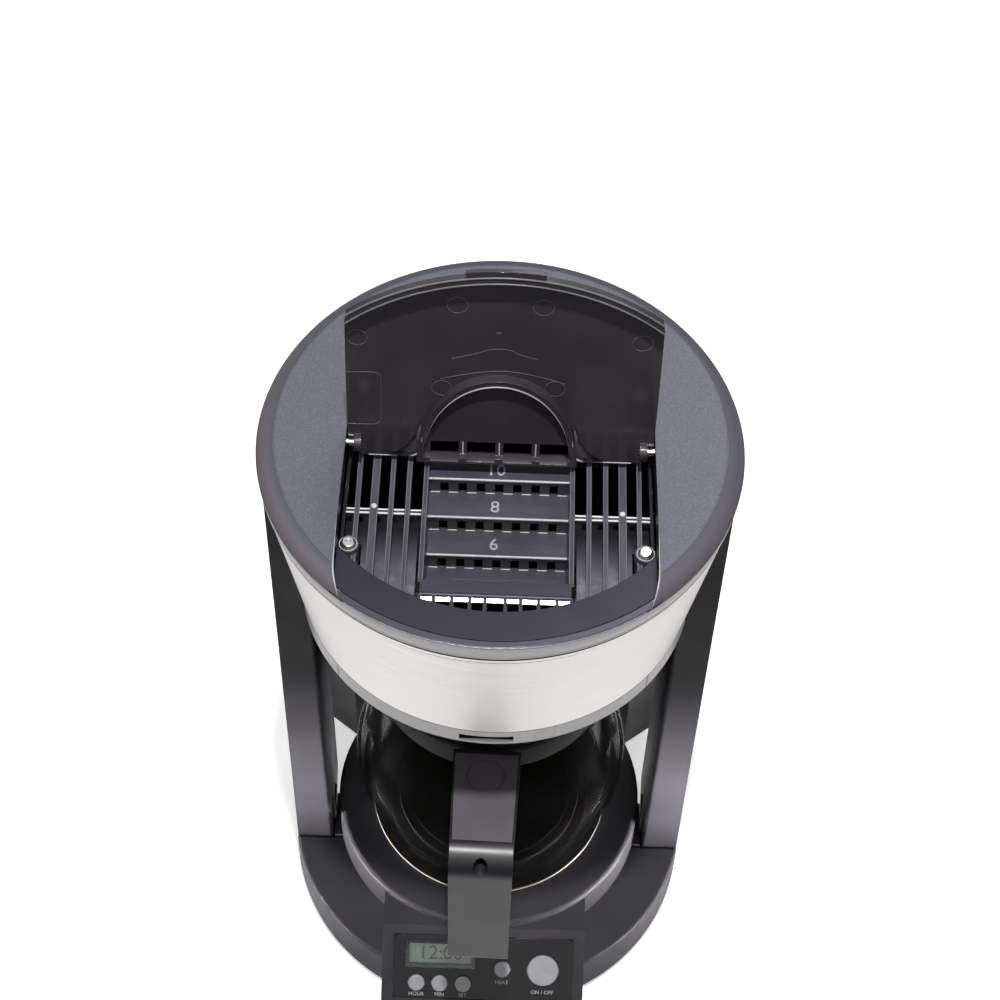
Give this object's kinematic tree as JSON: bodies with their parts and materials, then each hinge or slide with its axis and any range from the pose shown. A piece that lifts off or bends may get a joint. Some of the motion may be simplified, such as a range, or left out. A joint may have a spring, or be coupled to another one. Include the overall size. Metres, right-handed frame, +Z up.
{
  "type": "coffee maker",
  "caption": "Drum-topped drip coffee maker with a tilting lid, a pull-out filter funnel, a warming plate and a lidded glass carafe.",
  "frame": {"origin": "on the worktop under the drum's axis", "axes": "+X right, +Y to the back, +Z up; controls and carafe handle face -Y"},
  "size_m": [0.21, 0.239, 0.4559],
  "materials": {
    "shell_plastic": "fine satin texture",
    "crown_plastic": "grey with a fine metallic sparkle",
    "lid_plastic": "glossy black inside",
    "insert_plastic": "dark, slightly blue",
    "inner_plastic": "plain dark",
    "trim_silver": "satin silver",
    "band_steel": "brushed round the drum",
    "panel_plastic": "dark gloss",
    "window_clear": "tinted clear",
    "display_grey": "grey-green display",
    "board_green": "lacquered board",
    "switch_black": "plain",
    "button_silver": "silver caps",
    "plate_coated": "non-stick coating",
    "rubber_black": "matt",
    "silicone_grey": "translucent silicone",
    "heater_aluminium": "cast",
    "fastener_steel": "bright",
    "carafe_clear": "clear",
    "carafe_black": "satin black",
    "inlay_black": "gloss black"
  },
  "bodies": {
    "brewer": {"base_housing": "shell_plastic", "bottom_cover": "shell_plastic", "rubber_feet": "rubber_black", "bottom_screws": "fastener_steel", "warmer_gasket": "silicone_grey", "warmer_plate": "plate_coated", "heating_tube": "heater_aluminium", "thermostat": "heater_aluminium", "control_panel": "panel_plastic", "display_window": "window_clear", "display_module": "display_grey", "circuit_board": "board_green", "button_switches": "switch_black", "left_pillar": "shell_plastic", "right_pillar": "shell_plastic", "rear_column": "shell_plastic", "rear_cover": "shell_plastic", "cover_screws": "fastener_steel", "cord_bushing": "rubber_black", "cold_hose": "silicone_grey", "hot_hose": "silicone_grey", "check_valve": "inner_plastic", "hose_clamps": "fastener_steel", "drum_chassis": "inner_plastic", "steel_band": "band_steel", "upper_trim_ring": "trim_silver", "lower_trim_ring": "trim_silver", "water_tank": "inner_plastic", "top_cover": "crown_plastic", "pour_insert": "insert_plastic", "level_steps": "insert_plastic", "insert_screws": "fastener_steel", "lid_pins": "fastener_steel", "spray_head": "inner_plastic", "funnel_rails": "inner_plastic"},
    "lid": {"top_lid": "lid_plastic"},
    "funnel": {"brew_funnel": "inner_plastic", "funnel_front": "trim_silver", "drip_spring": "fastener_steel"},
    "stopper": {"drip_stop": "carafe_black", "drip_seal": "silicone_grey"},
    "carafe": {"carafe_glass": "carafe_clear", "carafe_collar": "carafe_black", "carafe_handle": "carafe_black", "handle_inlay": "inlay_black", "handle_screw": "fastener_steel"},
    "carafe_cap": {"carafe_lid": "carafe_black"},
    "hour_button_cap": {"hour_button": "button_silver"},
    "minute_button_cap": {"minute_button": "button_silver"},
    "program_button_cap": {"program_button": "button_silver"},
    "warmer_button_cap": {"warmer_button": "button_silver"},
    "brew_button_cap": {"brew_button": "button_silver"}
  },
  "joints": [
    {"name": "lid_hinge", "type": "hinge", "parent": "brewer", "child": "lid", "pos_m": [0, -0.0045, 0.35545], "axis": [1, 0, 0], "range_deg": [0, 96]},
    {"name": "funnel_slide", "type": "slide", "parent": "brewer", "child": "funnel", "axis": [0, -1, 0], "range_m": [0, 0.13]},
    {"name": "stopper_lift", "type": "slide", "parent": "funnel", "child": "stopper", "axis": [0, 0, 1], "range_m": [0, 0.003], "stiffness_N_per_m": 150, "springref_m": -0.002, "deforming": ["drip_spring"]},
    {"name": "carafe_slide", "type": "slide", "parent": "brewer", "child": "carafe", "axis": [0, -1, 0], "range_m": [0, 0.25]},
    {"name": "cap_twist", "type": "hinge", "parent": "carafe", "child": "carafe_cap", "pos_m": [0, 0, 0.19], "axis": [0, 0, 1], "range_deg": [0, 40]},
    {"name": "hour_button_press", "type": "slide", "parent": "brewer", "child": "hour_button_cap", "axis": [0, 0.6585, -0.7526], "range_m": [0, 0.0012], "stiffness_N_per_m": 400, "springref_m": -0.0008},
    {"name": "minute_button_press", "type": "slide", "parent": "brewer", "child": "minute_button_cap", "axis": [0, 0.6585, -0.7526], "range_m": [0, 0.0012], "stiffness_N_per_m": 400, "springref_m": -0.0008},
    {"name": "program_button_press", "type": "slide", "parent": "brewer", "child": "program_button_cap", "axis": [0, 0.6585, -0.7526], "range_m": [0, 0.0012], "stiffness_N_per_m": 400, "springref_m": -0.0008},
    {"name": "warmer_button_press", "type": "slide", "parent": "brewer", "child": "warmer_button_cap", "axis": [0, 0.6585, -0.7526], "range_m": [0, 0.0012], "stiffness_N_per_m": 400, "springref_m": -0.0008},
    {"name": "brew_button_press", "type": "slide", "parent": "brewer", "child": "brew_button_cap", "axis": [0, 0.6585, -0.7526], "range_m": [0, 0.0012], "stiffness_N_per_m": 400, "springref_m": -0.0008}
  ]
}
